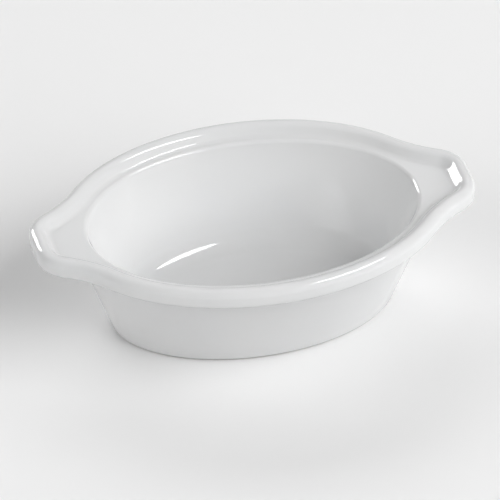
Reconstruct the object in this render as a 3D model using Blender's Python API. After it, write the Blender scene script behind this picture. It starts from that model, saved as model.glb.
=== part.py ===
"""Mini cocotte: a small oval baking dish in white glazed porcelain, with an ear at each end.

The dish is one casting. Its wall tapers down to a flat foot ring, a thick bead runs round the
rim and out round both ears, and inside the bead a sunken ledge widens into a tray on each ear.
Sizes are in metres. X runs from ear to ear, Z is up, and the foot ring stands on Z = 0.
"""
import math

import bmesh
import bpy
from mathutils import Vector

# Overall form
DISH_HEIGHT = 0.0390
OVAL_LENGTH = 0.1220
OVAL_WIDTH = 0.0864

# Ears, seen from above: each one stands out past the oval
EAR_LENGTH = 0.0090
EAR_TIP_WIDTH = 0.0201
EAR_FLANK_ANGLE = math.radians(27.5)
EAR_CORNER_RADIUS = 0.0103
EAR_ROOT_RADIUS = 0.0456

# Rolled bead round the rim and the ears
BEAD_HEIGHT = 0.0065
BEAD_WIDTH = 0.0037
BEAD_UNDER_RADIUS = 0.0019
BEAD_TOP_RADIUS = 0.0024
BEAD_INNER_RADIUS = 0.0018
BEAD_INNER_SLOPE = math.radians(50.0)

# Sunken ledge inside the bead, and the lip where it turns down into the bowl
LEDGE_DEPTH = 0.0030
LEDGE_WIDTH = 0.0023
LEDGE_FILLET_RADIUS = 0.0019
LIP_RADIUS = 0.0014

# Inside of the bowl
BOWL_DRAFT = math.radians(20.0)
FLOOR_THICKNESS = 0.0050
FLOOR_FILLET_RADIUS = 0.0080

# Outer wall, under the bead, and the foot
WALL_OVERHANG = 0.0044
WALL_DRAFT = math.radians(19.8)
WALL_ROOT_RADIUS = 0.0012
BASE_RADIUS = 0.0020
FOOT_RING_WIDTH = 0.0045
FOOT_INNER_RADIUS = 0.0005
RECESS_DEPTH = 0.0010
RECESS_FILLET_RADIUS = 0.0008

# Facets: how far a chord may stand off its arc, and the steps along a quarter of the outline
SECTION_TOLERANCE = 0.00004
TIP_STEPS = 2
CORNER_STEPS = 5
FLANK_STEPS = 2
ROOT_STEPS = 4
OVAL_STEPS = 10
SMOOTH_UP_TO = math.radians(40.0)

# How the outline and the section are solved
ROOT_HALVINGS = 60
ROOT_TRIM = 0.95
ARC_SHARE_OF_SIDE = 0.98

GLAZE_COLOUR = (0.86, 0.86, 0.85, 1.0)
GLAZE_ROUGHNESS = 0.08

EAR = "ear"
OVAL = "oval"


def oval_point(turn, inset=0.0):
    """The point of the rim oval, or of the oval set in from it, at a turn from the X axis."""
    half_length, half_width = OVAL_LENGTH / 2 - inset, OVAL_WIDTH / 2 - inset
    return Vector((half_length * math.cos(turn), half_width * math.sin(turn)))


def oval_normal(turn):
    """The rim oval's outward normal at a turn."""
    normal = Vector((OVAL_WIDTH * math.cos(turn), OVAL_LENGTH * math.sin(turn)))
    return normal.normalized()


def straight(start, end, normal, steps):
    """Points and normals along a straight stretch, without its last point."""
    return [(start.lerp(end, step / steps), normal) for step in range(steps)]


def arc(centre, radius, start_angle, end_angle, steps, side=1.0):
    """Points and outward normals along an arc, without its last point; side -1 is a hollow one."""
    row = []
    for step in range(steps):
        angle = start_angle + (end_angle - start_angle) * step / steps
        direction = Vector((math.cos(angle), math.sin(angle)))
        row.append((centre + radius * direction, side * direction))
    return row


def ear_root(flank_normal, flank_offset, radius):
    """The turn at which an arc of this radius leaves the oval for the ear's flank, and its centre."""
    low = 0.0
    high = math.atan2(OVAL_WIDTH * flank_normal.y, OVAL_LENGTH * flank_normal.x)
    for _ in range(ROOT_HALVINGS):
        turn = (low + high) / 2
        centre = oval_point(turn) + radius * oval_normal(turn)
        if flank_normal.dot(centre) < flank_offset + radius:
            low = turn
        else:
            high = turn
    return turn, centre


def quarter_outline():
    """The rim's outline from an ear's tip round to the side of the dish.

    Each entry is a point, its outward normal, and the turn of the ovals that it is joined to.
    """
    tip_x = OVAL_LENGTH / 2 + EAR_LENGTH
    tip_half = EAR_TIP_WIDTH / 2
    tip_normal = Vector((1.0, 0.0))
    flank_normal = Vector((math.sin(EAR_FLANK_ANGLE), math.cos(EAR_FLANK_ANGLE)))
    flank_offset = flank_normal.dot(Vector((tip_x, tip_half)))
    corner_angle = math.pi / 2 - EAR_FLANK_ANGLE
    corner_radius = min(EAR_CORNER_RADIUS, tip_half / math.tan(corner_angle / 2))

    corner_x = tip_x - corner_radius
    corner_y = (flank_offset - corner_radius - flank_normal.x * corner_x) / flank_normal.y
    corner = Vector((corner_x, corner_y))
    flank_start = corner + corner_radius * flank_normal

    root_radius = EAR_ROOT_RADIUS
    root_turn, root = ear_root(flank_normal, flank_offset, root_radius)
    while (root - root_radius * flank_normal).x > flank_start.x:
        root_radius *= ROOT_TRIM
        root_turn, root = ear_root(flank_normal, flank_offset, root_radius)
    flank_end = root - root_radius * flank_normal
    root_normal = oval_normal(root_turn)
    root_start_angle = math.atan2(-flank_normal.y, -flank_normal.x)
    root_end_angle = math.atan2(-root_normal.y, -root_normal.x)

    ear = straight(Vector((tip_x, 0.0)), Vector((tip_x, corner_y)), tip_normal, TIP_STEPS)
    ear += arc(corner, corner_radius, 0.0, corner_angle, CORNER_STEPS)
    ear += straight(flank_start, flank_end, flank_normal, FLANK_STEPS)
    ear += arc(root, root_radius, root_start_angle, root_end_angle, ROOT_STEPS, side=-1.0)
    row = []
    for index, (point, normal) in enumerate(ear):
        row.append((point, normal, root_turn * index / len(ear)))
    for step in range(OVAL_STEPS + 1):
        turn = root_turn + (math.pi / 2 - root_turn) * step / OVAL_STEPS
        row.append((oval_point(turn), oval_normal(turn), turn))
    return row


def whole_outline():
    """The quarter turned into the closed outline, anticlockwise from the tip of the +X ear."""
    quarter = quarter_outline()
    second = [(Vector((-point.x, point.y)), Vector((-normal.x, normal.y)), math.pi - turn)
              for point, normal, turn in reversed(quarter[1:])]
    half = quarter[:-1] + second
    other = [(-point, -normal, math.pi + turn) for point, normal, turn in half]
    return half + other


def section_corners():
    """The section's sharp corners, from the middle of the underside round to the floor's middle.

    Each one is a distance in from the outline, a height, a radius, and the outline it follows.
    """
    middle = OVAL_WIDTH / 2
    bead_bottom = DISH_HEIGHT - BEAD_HEIGHT
    ledge_height = DISH_HEIGHT - LEDGE_DEPTH
    base = WALL_OVERHANG + bead_bottom * math.tan(WALL_DRAFT)
    recess = base + FOOT_RING_WIDTH
    bead_foot = BEAD_WIDTH + LEDGE_DEPTH / math.tan(BEAD_INNER_SLOPE)
    lip = bead_foot + LEDGE_WIDTH
    floor = lip + (ledge_height - FLOOR_THICKNESS) * math.tan(BOWL_DRAFT)
    return [
        (middle, RECESS_DEPTH, 0.0, OVAL),
        (recess, RECESS_DEPTH, RECESS_FILLET_RADIUS, OVAL),
        (recess, 0.0, FOOT_INNER_RADIUS, OVAL),
        (base, 0.0, BASE_RADIUS, OVAL),
        (WALL_OVERHANG, bead_bottom, WALL_ROOT_RADIUS, OVAL),
        (0.0, bead_bottom, BEAD_UNDER_RADIUS, EAR),
        (0.0, DISH_HEIGHT, BEAD_TOP_RADIUS, EAR),
        (BEAD_WIDTH, DISH_HEIGHT, BEAD_INNER_RADIUS, EAR),
        (bead_foot, ledge_height, LEDGE_FILLET_RADIUS, EAR),
        (lip, ledge_height, LIP_RADIUS, OVAL),
        (floor, FLOOR_THICKNESS, FLOOR_FILLET_RADIUS, OVAL),
        (middle, FLOOR_THICKNESS, 0.0, OVAL),
    ]


def rounded_section():
    """The section with an arc at each corner, as (inset, height, outline) stations.

    Where two arcs would meet on a side that is too short for both, both are made smaller.
    """
    corners = section_corners()
    spots = [Vector(corner[:2]) for corner in corners]
    sides = [after - before for before, after in zip(spots, spots[1:])]
    bends = [0.0]
    bends += [before.angle(after) for before, after in zip(sides, sides[1:])]
    bends.append(0.0)
    reaches = [corner[2] * math.tan(bend / 2) for corner, bend in zip(corners, bends)]

    stations = []
    for index in range(1, len(corners) - 1):
        crowding = max(
            (reaches[index - 1] + reaches[index]) / sides[index - 1].length,
            (reaches[index] + reaches[index + 1]) / sides[index].length,
            1.0,
        )
        reach = ARC_SHARE_OF_SIDE * reaches[index] / crowding
        bend = bends[index]
        radius = reach / math.tan(bend / 2)
        arriving = sides[index - 1].normalized()
        leaving = sides[index].normalized()
        start = spots[index] - reach * arriving
        centre = start + radius * (leaving - arriving.dot(leaving) * arriving).normalized()
        rise = min(SECTION_TOLERANCE, radius / 2)
        facet = 2 * math.acos(1 - rise / radius)
        steps = math.ceil(bend / facet)
        for step in range(steps + 1):
            angle = bend * step / steps
            spot = centre + math.cos(angle) * (start - centre) + math.sin(angle) * radius * arriving
            stations.append((spot.x, spot.y, corners[index][3]))
    return stations


def ring_points(outline, inset, height, follows):
    """One closed ring of the loft: the eared outline or the plain oval, set in and lifted."""
    points = []
    for point, normal, turn in outline:
        spot = point - inset * normal if follows == EAR else oval_point(turn, inset)
        points.append((spot.x, spot.y, height))
    return points


def loft(name, rings):
    """A closed mesh through rings of as many points, with a flat face over each end."""
    shape = bmesh.new()
    loops = [[shape.verts.new(point) for point in ring] for ring in rings]
    for lower, upper in zip(loops, loops[1:]):
        for index, corner in enumerate(lower):
            after = (index + 1) % len(lower)
            shape.faces.new((corner, lower[after], upper[after], upper[index]))
    shape.faces.new(reversed(loops[0]))
    shape.faces.new(loops[-1])
    mesh = bpy.data.meshes.new(name)
    shape.to_mesh(mesh)
    shape.free()
    mesh.shade_smooth()
    mesh.set_sharp_from_angle(angle=SMOOTH_UP_TO)
    return mesh


def white_glaze():
    """Clear gloss glaze over white porcelain."""
    material = bpy.data.materials.new("white_glaze")
    material.use_nodes = True
    shader = material.node_tree.nodes["Principled BSDF"]
    shader.inputs["Base Color"].default_value = GLAZE_COLOUR
    shader.inputs["Roughness"].default_value = GLAZE_ROUGHNESS
    shader.inputs["Metallic"].default_value = 0.0
    material.diffuse_color = GLAZE_COLOUR
    return material


def make_dish(collection):
    """The dish: bowl, bead, ledge, ears and foot ring in one casting."""
    outline = whole_outline()
    rings = [ring_points(outline, *station) for station in rounded_section()]
    dish = bpy.data.objects.new("dish", loft("dish", rings))
    dish.data.materials.append(white_glaze())
    collection.objects.link(dish)
    return dish


for old in list(bpy.data.objects):
    bpy.data.objects.remove(old)
cocotte = bpy.data.collections.new("mini_cocotte")
bpy.context.scene.collection.children.link(cocotte)
make_dish(cocotte)
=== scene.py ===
import math

import bmesh
import bpy
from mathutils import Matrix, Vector


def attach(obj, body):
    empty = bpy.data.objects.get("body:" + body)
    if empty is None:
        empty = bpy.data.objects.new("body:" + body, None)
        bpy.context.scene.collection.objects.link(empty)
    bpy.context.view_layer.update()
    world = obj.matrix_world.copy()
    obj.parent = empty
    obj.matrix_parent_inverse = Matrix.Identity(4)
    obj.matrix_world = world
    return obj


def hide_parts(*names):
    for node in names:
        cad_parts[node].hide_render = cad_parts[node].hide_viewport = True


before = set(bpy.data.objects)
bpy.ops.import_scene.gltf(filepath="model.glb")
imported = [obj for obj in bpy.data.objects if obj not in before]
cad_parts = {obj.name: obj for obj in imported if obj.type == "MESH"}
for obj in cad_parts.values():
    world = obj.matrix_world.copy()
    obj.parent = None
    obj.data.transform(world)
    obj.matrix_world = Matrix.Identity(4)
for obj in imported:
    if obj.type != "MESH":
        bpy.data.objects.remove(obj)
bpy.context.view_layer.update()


# Rim: the thick bead that runs round the dish and out round both ears.
# The mould's rim is drawn first in plan, because bowl, ledge and wall all hang from it. The
# porcelain is cast in one, so this mesh grows into the whole dish in the sections below.

def pick(kind, rule):
    """Selects, in edit mode, just the vertices or faces whose middle a rule takes."""
    bpy.ops.mesh.select_mode(type=kind)
    bpy.ops.mesh.select_all(action="DESELECT")
    cage = bmesh.from_edit_mesh(bpy.context.edit_object.data)
    if kind == "VERT":
        for corner in cage.verts:
            corner.select_set(rule(corner.co))
    else:
        for face in cage.faces:
            face.select_set(rule(face.calc_center_median()))
    cage.select_flush_mode()
    bmesh.update_edit_mesh(bpy.context.edit_object.data)


def forget_name():
    """Takes away the name that the selected ring was given by the ring it grew from."""
    if bpy.context.object.vertex_groups:
        bpy.ops.object.vertex_group_remove_from(use_all_groups=True)


def name_ring(name):
    """Keeps the selected ring under a name, so that it can be found and rounded later."""
    forget_name()
    bpy.ops.object.vertex_group_assign_new()
    bpy.context.object.vertex_groups.active.name = name


def find_ring(name):
    """Selects the edges of the ring that was kept under this name, and none that it passed it to."""
    least_share = 0.999
    bpy.ops.mesh.select_mode(type="VERT")
    bpy.ops.mesh.select_all(action="DESELECT")
    cage = bmesh.from_edit_mesh(bpy.context.edit_object.data)
    shares = cage.verts.layers.deform.verify()
    group = bpy.context.object.vertex_groups[name].index
    for corner in cage.verts:
        corner.select_set(corner[shares].get(group, 0.0) > least_share)
    cage.select_flush_mode()
    bmesh.update_edit_mesh(bpy.context.edit_object.data)
    bpy.ops.mesh.select_mode(type="EDGE")


dish_height = 0.0390
oval_length = 0.1220
oval_width = 0.0864
ear_length = 0.0090
ear_tip_half = 0.01005
ear_flank_angle = math.radians(27.5)
ear_corner_radius = 0.0103
bead_height = 0.0065
bead_width = 0.0037
bead_inner_slope = math.radians(50.0)
ledge_depth = 0.0030

points_round = 248
tip_points = 3
corner_points = 10
root_points = 8
merge_gap = 1e-5

# A quarter of the oval's side, from the middle to where the hollow of the ear leaves it
step_turn = math.tau / points_round
root_turn = step_turn * (tip_points + corner_points + 1 + root_points)
first_side_turn = root_turn - step_turn / 2
half_length, half_width = oval_length / 2, oval_width / 2
bpy.ops.object.select_all(action="DESELECT")
bpy.ops.mesh.primitive_circle_add(vertices=points_round, radius=1.0, location=(0, 0, dish_height))
dish = bpy.context.object
dish.name = dish.data.name = "porcelain_dish"
bpy.ops.object.transform_apply(location=True)
bpy.ops.object.mode_set(mode="EDIT")
pick("VERT", lambda spot: math.atan2(spot.y, spot.x) < first_side_turn or spot.x < -step_turn / 2)
bpy.ops.mesh.delete(type="VERT")
bpy.ops.mesh.select_all(action="SELECT")
bpy.ops.transform.resize(value=(half_length, half_width, 1.0), center_override=(0, 0, dish_height))

# The hollow between the oval and the ear, the short flank, the round corner and half the tip
flank = Vector((math.sin(ear_flank_angle), math.cos(ear_flank_angle)))
tip_x = half_length + ear_length
flank_offset = flank.dot(Vector((tip_x, ear_tip_half)))
root_end = Vector((half_length * math.cos(root_turn), half_width * math.sin(root_turn)))
root_out = Vector((half_width * math.cos(root_turn), half_length * math.sin(root_turn))).normalized()
root_radius = (flank_offset - flank.dot(root_end)) / (flank.dot(root_out) - 1)
root_middle = root_end + root_radius * root_out
flank_end = root_middle - root_radius * flank
corner_x = tip_x - ear_corner_radius
corner_y = (flank_offset - ear_corner_radius - flank.x * corner_x) / flank.y
flank_start = Vector((corner_x, corner_y)) + ear_corner_radius * flank
pick("VERT", lambda spot: spot.x > root_end.x - merge_gap)
bpy.ops.mesh.spin(steps=root_points, angle=root_out.angle(flank), axis=(0, 0, -1),
                  center=(*root_middle, dish_height))
bpy.ops.mesh.extrude_region_move(
    TRANSFORM_OT_translate={"value": (*(flank_start - flank_end), 0.0)})
bpy.ops.mesh.spin(steps=corner_points, angle=math.pi / 2 - ear_flank_angle, axis=(0, 0, 1),
                  center=(corner_x, corner_y, dish_height))
for _ in range(tip_points):
    bpy.ops.mesh.extrude_region_move(
        TRANSFORM_OT_translate={"value": (0.0, -corner_y / tip_points, 0.0)})
bpy.ops.object.mode_set(mode="OBJECT")
fold = dish.modifiers.new("fold", "MIRROR")
fold.use_axis = (True, True, False)
fold.merge_threshold = merge_gap
bpy.ops.object.modifier_apply(modifier=fold.name)

# The bead: its outer side goes down, and its top and inner slope are set in from the outline
bpy.ops.object.mode_set(mode="EDIT")
bpy.ops.mesh.select_all(action="SELECT")
name_ring("bead_top")
bpy.ops.mesh.extrude_region_move(TRANSFORM_OT_translate={"value": (0.0, 0.0, -bead_height)})
name_ring("bead_under")
find_ring("bead_top")
bpy.ops.mesh.edge_face_add()
bpy.ops.mesh.select_all(action="SELECT")
bpy.ops.mesh.normals_make_consistent(inside=False)
pick("FACE", lambda spot: spot.z > dish_height - bead_height / 4)
bpy.ops.mesh.inset(thickness=bead_width)
name_ring("bead_inner")
slope_width = ledge_depth / math.tan(bead_inner_slope)
bpy.ops.mesh.inset(thickness=slope_width, depth=-ledge_depth)
name_ring("bead_foot")
bpy.ops.mesh.delete(type="ONLY_FACE")


# Bowl: the hollow for the food, an oval that narrows evenly down to a rounded floor.
# It starts at the lip of the flat ledge, which widens into a tray on each ear, so the ledge is
# the band of porcelain that joins the oval lip to the foot of the bead.

def lay_oval(inset, height):
    """Draws the selected ring out to a new one in the rim oval's shape, set in, at a height."""
    bpy.ops.mesh.extrude_region_move()
    cage = bmesh.from_edit_mesh(bpy.context.edit_object.data)
    ring = [corner for corner in cage.verts if corner.select]
    ring.sort(key=lambda corner: (math.atan2(corner.co.y, corner.co.x) + step_turn / 4) % math.tau)
    for index, corner in enumerate(ring):
        corner.co = ((half_length - inset) * math.cos(index * step_turn),
                     (half_width - inset) * math.sin(index * step_turn), height)
    bmesh.update_edit_mesh(bpy.context.edit_object.data)


def pull_oval(start, end, bands=1):
    """Draws the selected oval ring out into a wall, from one (inset, height) to another."""
    inset, height = start
    for band in range(1, bands + 1):
        next_inset = start[0] + (end[0] - start[0]) * band / bands
        next_height = start[1] + (end[1] - start[1]) * band / bands
        bpy.ops.mesh.extrude_region_move(
            TRANSFORM_OT_translate={"value": (0.0, 0.0, next_height - height)})
        bpy.ops.transform.resize(
            value=((half_length - next_inset) / (half_length - inset),
                   (half_width - next_inset) / (half_width - inset), 1.0),
            center_override=(0, 0, next_height))
        forget_name()
        inset, height = next_inset, next_height


def close_flat(*margins):
    """Closes the selected ring with a flat face that has smaller rings in it, each set in further."""
    bpy.ops.mesh.edge_face_add()
    for margin in margins:
        bpy.ops.mesh.inset(thickness=margin)
        forget_name()


ledge_width = 0.0023
floor_thickness = 0.0050
floor_fillet_radius = 0.0080
floor_edge_margin = 0.0090
floor_middle_margin = 0.0030
bowl_draft = math.radians(20.0)
wall_bands = 8
ledge_height = dish_height - ledge_depth
fillet_height = floor_thickness + floor_fillet_radius
lip_inset = bead_width + slope_width + ledge_width
lip = (lip_inset, ledge_height)
fillet_top = (lip_inset + (ledge_height - fillet_height) * math.tan(bowl_draft), fillet_height)
floor = (lip_inset + (ledge_height - floor_thickness) * math.tan(bowl_draft), floor_thickness)
find_ring("bead_foot")
lay_oval(*lip)
name_ring("lip")
pull_oval(lip, fillet_top, wall_bands)
pull_oval(fillet_top, floor)
name_ring("floor_edge")
close_flat(floor_edge_margin, floor_middle_margin)


# Wall and foot: the outside of the bowl, tucked in under the bead, and the ring it stands on.
# The wall leans in as far as the mould lets it draw, and the underside is hollowed a little so
# that the dish stands on its ring without rocking.
wall_overhang = 0.0044
wall_draft = math.radians(19.8)
foot_ring_width = 0.0045
foot_ring_bands = 3
recess_depth = 0.0010
recess_edge_margin = 0.0020
recess_middle_margin = 0.0040
bead_bottom = dish_height - bead_height
wall_root = (wall_overhang, bead_bottom)
base = (wall_overhang + bead_bottom * math.tan(wall_draft), 0.0)
ring_inside = (base[0] + foot_ring_width, 0.0)
recess = (ring_inside[0], recess_depth)
find_ring("bead_under")
lay_oval(*wall_root)
name_ring("wall_root")
pull_oval(wall_root, base, wall_bands)
name_ring("base")
pull_oval(base, ring_inside, foot_ring_bands)
name_ring("ring_inside")
pull_oval(ring_inside, recess)
name_ring("recess")
close_flat(recess_edge_margin, recess_middle_margin)


# Rounded edges: a mould has no sharp corners, and the glaze softens what is left.
# Each ring is rounded to its own radius: the bead's roll above and below, the soft foot of its
# inner slope, the lip, the wide fillet round the floor, and the foot.

def round_ring(name, radius, bend, facets):
    """Turns the sharp ring of this name into an arc, for a section that turns by this angle."""
    find_ring(name)
    bpy.ops.mesh.bevel(offset_type="OFFSET", offset=radius * math.tan(bend / 2), segments=facets,
                       profile=0.5, affect="EDGES", clamp_overlap=False)


bead_top_radius = 0.0024
bead_under_radius = 0.0019
bead_inner_radius = 0.0027
bead_foot_radius = 0.0021
lip_radius = 0.0015
wall_root_radius = 0.0012
base_radius = 0.0020
ring_inside_radius = 0.0004
recess_radius = 0.0005
square = math.pi / 2
bpy.ops.mesh.select_all(action="SELECT")
bpy.ops.mesh.normals_make_consistent(inside=False)
round_ring("bead_top", bead_top_radius, square, facets=14)
round_ring("bead_under", bead_under_radius, square, facets=12)
round_ring("bead_inner", bead_inner_radius, bead_inner_slope, facets=10)
round_ring("bead_foot", bead_foot_radius, bead_inner_slope, facets=10)
round_ring("lip", lip_radius, square - bowl_draft, facets=12)
round_ring("floor_edge", floor_fillet_radius, square - bowl_draft, facets=20)
round_ring("wall_root", wall_root_radius, square - wall_draft, facets=8)
round_ring("base", base_radius, square - wall_draft, facets=10)
round_ring("ring_inside", ring_inside_radius, square, facets=4)
round_ring("recess", recess_radius, square, facets=5)
bpy.ops.mesh.select_all(action="SELECT")
bpy.ops.mesh.remove_doubles(threshold=1e-6)
bpy.ops.mesh.normals_make_consistent(inside=False)
bpy.ops.object.vertex_group_remove(all=True)
bpy.ops.object.mode_set(mode="OBJECT")
bpy.ops.object.shade_smooth()


# Glaze: a clear glass fired on to white porcelain, a few tenths of a millimetre thick.
# It is wavy over a centimetre or two where it flowed in the kiln, a little greyer where it lies
# thick, and wiped off the foot ring, so that the dish doesn't stick to the kiln shelf.

def noise(name, scale, detail):
    """A cloudy pattern on the dish itself, with this many waves to the metre."""
    cloud = nodes.new("ShaderNodeTexNoise")
    cloud.name = cloud.label = name
    cloud.inputs["Scale"].default_value = scale
    cloud.inputs["Detail"].default_value = detail
    links.new(place.outputs["Object"], cloud.inputs["Vector"])
    return cloud.outputs["Fac"]


def ramp(name, source, low, high, start, end):
    """Turns the stretch from low to high of a pattern into the stretch from start to end."""
    span = nodes.new("ShaderNodeMapRange")
    span.name = span.label = name
    for socket, value in zip(("From Min", "From Max", "To Min", "To Max"), (low, high, start, end)):
        span.inputs[socket].default_value = value
    links.new(source, span.inputs["Value"])
    return span.outputs["Result"]


def blend_colour(name, share, first, second):
    """Mixes two colours, or what a socket gives and a colour, by a share from a socket."""
    mix = nodes.new("ShaderNodeMix")
    mix.name = mix.label = name
    mix.data_type = "RGBA"
    links.new(share, mix.inputs["Factor"])
    if isinstance(first, tuple):
        mix.inputs["A"].default_value = first
    else:
        links.new(first, mix.inputs["A"])
    mix.inputs["B"].default_value = second
    return mix.outputs["Result"]


def relief(name, height, depth, under=None):
    """A low relief in the glaze, as deep as given, over another one where there is one."""
    bump = nodes.new("ShaderNodeBump")
    bump.name = bump.label = name
    bump.inputs["Distance"].default_value = depth
    links.new(height, bump.inputs["Height"])
    if under:
        links.new(under, bump.inputs["Normal"])
    return bump.outputs["Normal"]


thin_glaze_colour = (0.705, 0.707, 0.708, 1.0)
thick_glaze_colour = (0.688, 0.693, 0.698, 1.0)
iron_speck_colour = (0.42, 0.40, 0.37, 1.0)
bare_porcelain_colour = (0.62, 0.60, 0.56, 1.0)
wiped_up_to = 0.00015
glazed_from = 0.00045
bare_roughness = 0.62
glossiest, dullest = 0.035, 0.075
glaze_index = 1.52
wave_depth = 0.00010
ripple_depth = 0.000006

glaze = bpy.data.materials.new("white_glaze")
glaze.use_nodes = True
nodes, links = glaze.node_tree.nodes, glaze.node_tree.links
porcelain = nodes["Principled BSDF"]
place = nodes.new("ShaderNodeTexCoord")
height_above_shelf = nodes.new("ShaderNodeSeparateXYZ")
links.new(place.outputs["Object"], height_above_shelf.inputs["Vector"])
bare_foot = ramp("bare_foot", height_above_shelf.outputs["Z"], wiped_up_to, glazed_from, 1.0, 0.0)
thick_glaze = ramp("thick_glaze", noise("glaze_flow", 28.0, 2.0), 0.35, 0.70, 0.0, 1.0)
tint = blend_colour("glaze_tint", thick_glaze, thin_glaze_colour, thick_glaze_colour)
fine_specks = nodes.new("ShaderNodeTexVoronoi")
fine_specks.inputs["Scale"].default_value = 75.0
links.new(place.outputs["Object"], fine_specks.inputs["Vector"])
speck = ramp("speck", fine_specks.outputs["Distance"], 0.010, 0.016, 0.35, 0.0)
tint = blend_colour("specks", speck, tint, iron_speck_colour)
tint = blend_colour("foot_body", bare_foot, tint, bare_porcelain_colour)
links.new(tint, porcelain.inputs["Base Color"])
gloss = ramp("gloss", noise("glaze_haze", 160.0, 3.0), 0.3, 0.7, glossiest, dullest)
dull = nodes.new("ShaderNodeMix")
dull.data_type = "FLOAT"
links.new(bare_foot, dull.inputs["Factor"])
links.new(gloss, dull.inputs["A"])
dull.inputs["B"].default_value = bare_roughness
links.new(dull.outputs["Result"], porcelain.inputs["Roughness"])
waves = relief("waves", noise("glaze_waves", 65.0, 1.0), wave_depth)
ripple = relief("ripple", noise("glaze_ripple", 420.0, 1.0), ripple_depth, waves)
links.new(ripple, porcelain.inputs["Normal"])
porcelain.inputs["IOR"].default_value = glaze_index
glaze.diffuse_color = (0.73, 0.73, 0.73, 1.0)
dish.data.materials.append(glaze)
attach(dish, "root")
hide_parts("dish")


# Studio: a pale table in a white room, with five large cloths that light the body softly.
# Two small boxes show only in the glaze. The one high on the right makes the long lights on the
# lip, the floor's fillet and the near bead, and the one behind the short ones on the ears' tips.

def soft_light(name, azimuth, elevation, distance, width, height, power):
    """Hangs a light that faces the dish, so far round from the front to the right, and so high."""
    turn, lift = math.radians(azimuth), math.radians(elevation)
    way = Vector((math.sin(turn) * math.cos(lift), -math.cos(turn) * math.cos(lift), math.sin(lift)))
    lamp = bpy.data.lights.new(name, "AREA")
    lamp.shape = "RECTANGLE"
    lamp.size, lamp.size_y = width, height
    lamp.energy = power
    stand = bpy.data.objects.new(name, lamp)
    bpy.context.scene.collection.objects.link(stand)
    stand.location = distance * way + Vector((0, 0, dish_height / 2))
    stand.rotation_euler = (-way).to_track_quat("-Z", "Y").to_euler()
    return stand


def cloth(name, azimuth, elevation, width, height, power):
    """A large lit cloth that lights the porcelain and leaves no mirror image in the glaze."""
    soft_light(name, azimuth, elevation, cloth_distance, width, height, power).visible_glossy = False


def mirror_box(name, azimuth, elevation, distance, width, height, power):
    """A small oval box that only shows as a sharp light in the glaze."""
    box = soft_light(name, azimuth, elevation, distance, width, height, power)
    box.data.shape = "ELLIPSE"
    box.visible_diffuse = False


table_size = 6.0
table_colour = (0.80, 0.80, 0.80, 1.0)
bpy.ops.mesh.primitive_plane_add(size=table_size, location=(0, 0, 0))
table = bpy.context.object
table.name = table.data.name = "pale_table"
paint = bpy.data.materials.new("pale_table")
paint.use_nodes = True
board = paint.node_tree.nodes["Principled BSDF"]
board.inputs["Base Color"].default_value = table_colour
board.inputs["Roughness"].default_value = 0.9
board.inputs["Specular IOR Level"].default_value = 0.1
table.data.materials.append(paint)

room = bpy.data.worlds.new("white_room")
bpy.context.scene.world = room
room.use_nodes = True
room.node_tree.nodes["Background"].inputs["Color"].default_value = (1.0, 1.0, 1.0, 1.0)
room.node_tree.nodes["Background"].inputs["Strength"].default_value = 0.85
room.cycles_visibility.diffuse = False
room.cycles_visibility.glossy = False

cloth_distance = 2.5
cloth("front_right_cloth", 44.0, 38.0, 2.3, 2.2, 62.0)
cloth("right_cloth", 85.0, 24.0, 1.5, 1.2, 19.0)
cloth("left_cloth", -85.0, 30.0, 2.0, 1.8, 25.0)
cloth("front_left_cloth", -40.0, 35.0, 1.5, 1.5, 8.0)
cloth("back_cloth", 180.0, 35.0, 2.0, 1.0, 28.0)
mirror_box("right_box", 61.0, 58.0, 1.0, 0.56, 0.17, 4.0)
mirror_box("back_box", -146.0, 21.0, 1.3, 0.42, 0.72, 12.0)


# Camera: far off with a long lens, a little left of the front and well above the dish.
# Its place, turn and lens were fitted to the dish's outline in the photograph.
frame_width = 36.0
lens_length = 616.4
eye_place = (-0.57641, -1.99865, 1.66497)
eye_turn = [math.radians(angle) for angle in (51.678, -0.4546, -15.7068)]
eye = bpy.data.cameras.new("camera")
eye.sensor_width = frame_width
eye.lens = lens_length
eye.clip_end = 20.0
camera = bpy.data.objects.new("camera", eye)
bpy.context.scene.collection.objects.link(camera)
camera.location = eye_place
camera.rotation_euler = eye_turn
bpy.context.scene.camera = camera
bpy.context.scene.view_settings.view_transform = "Standard"
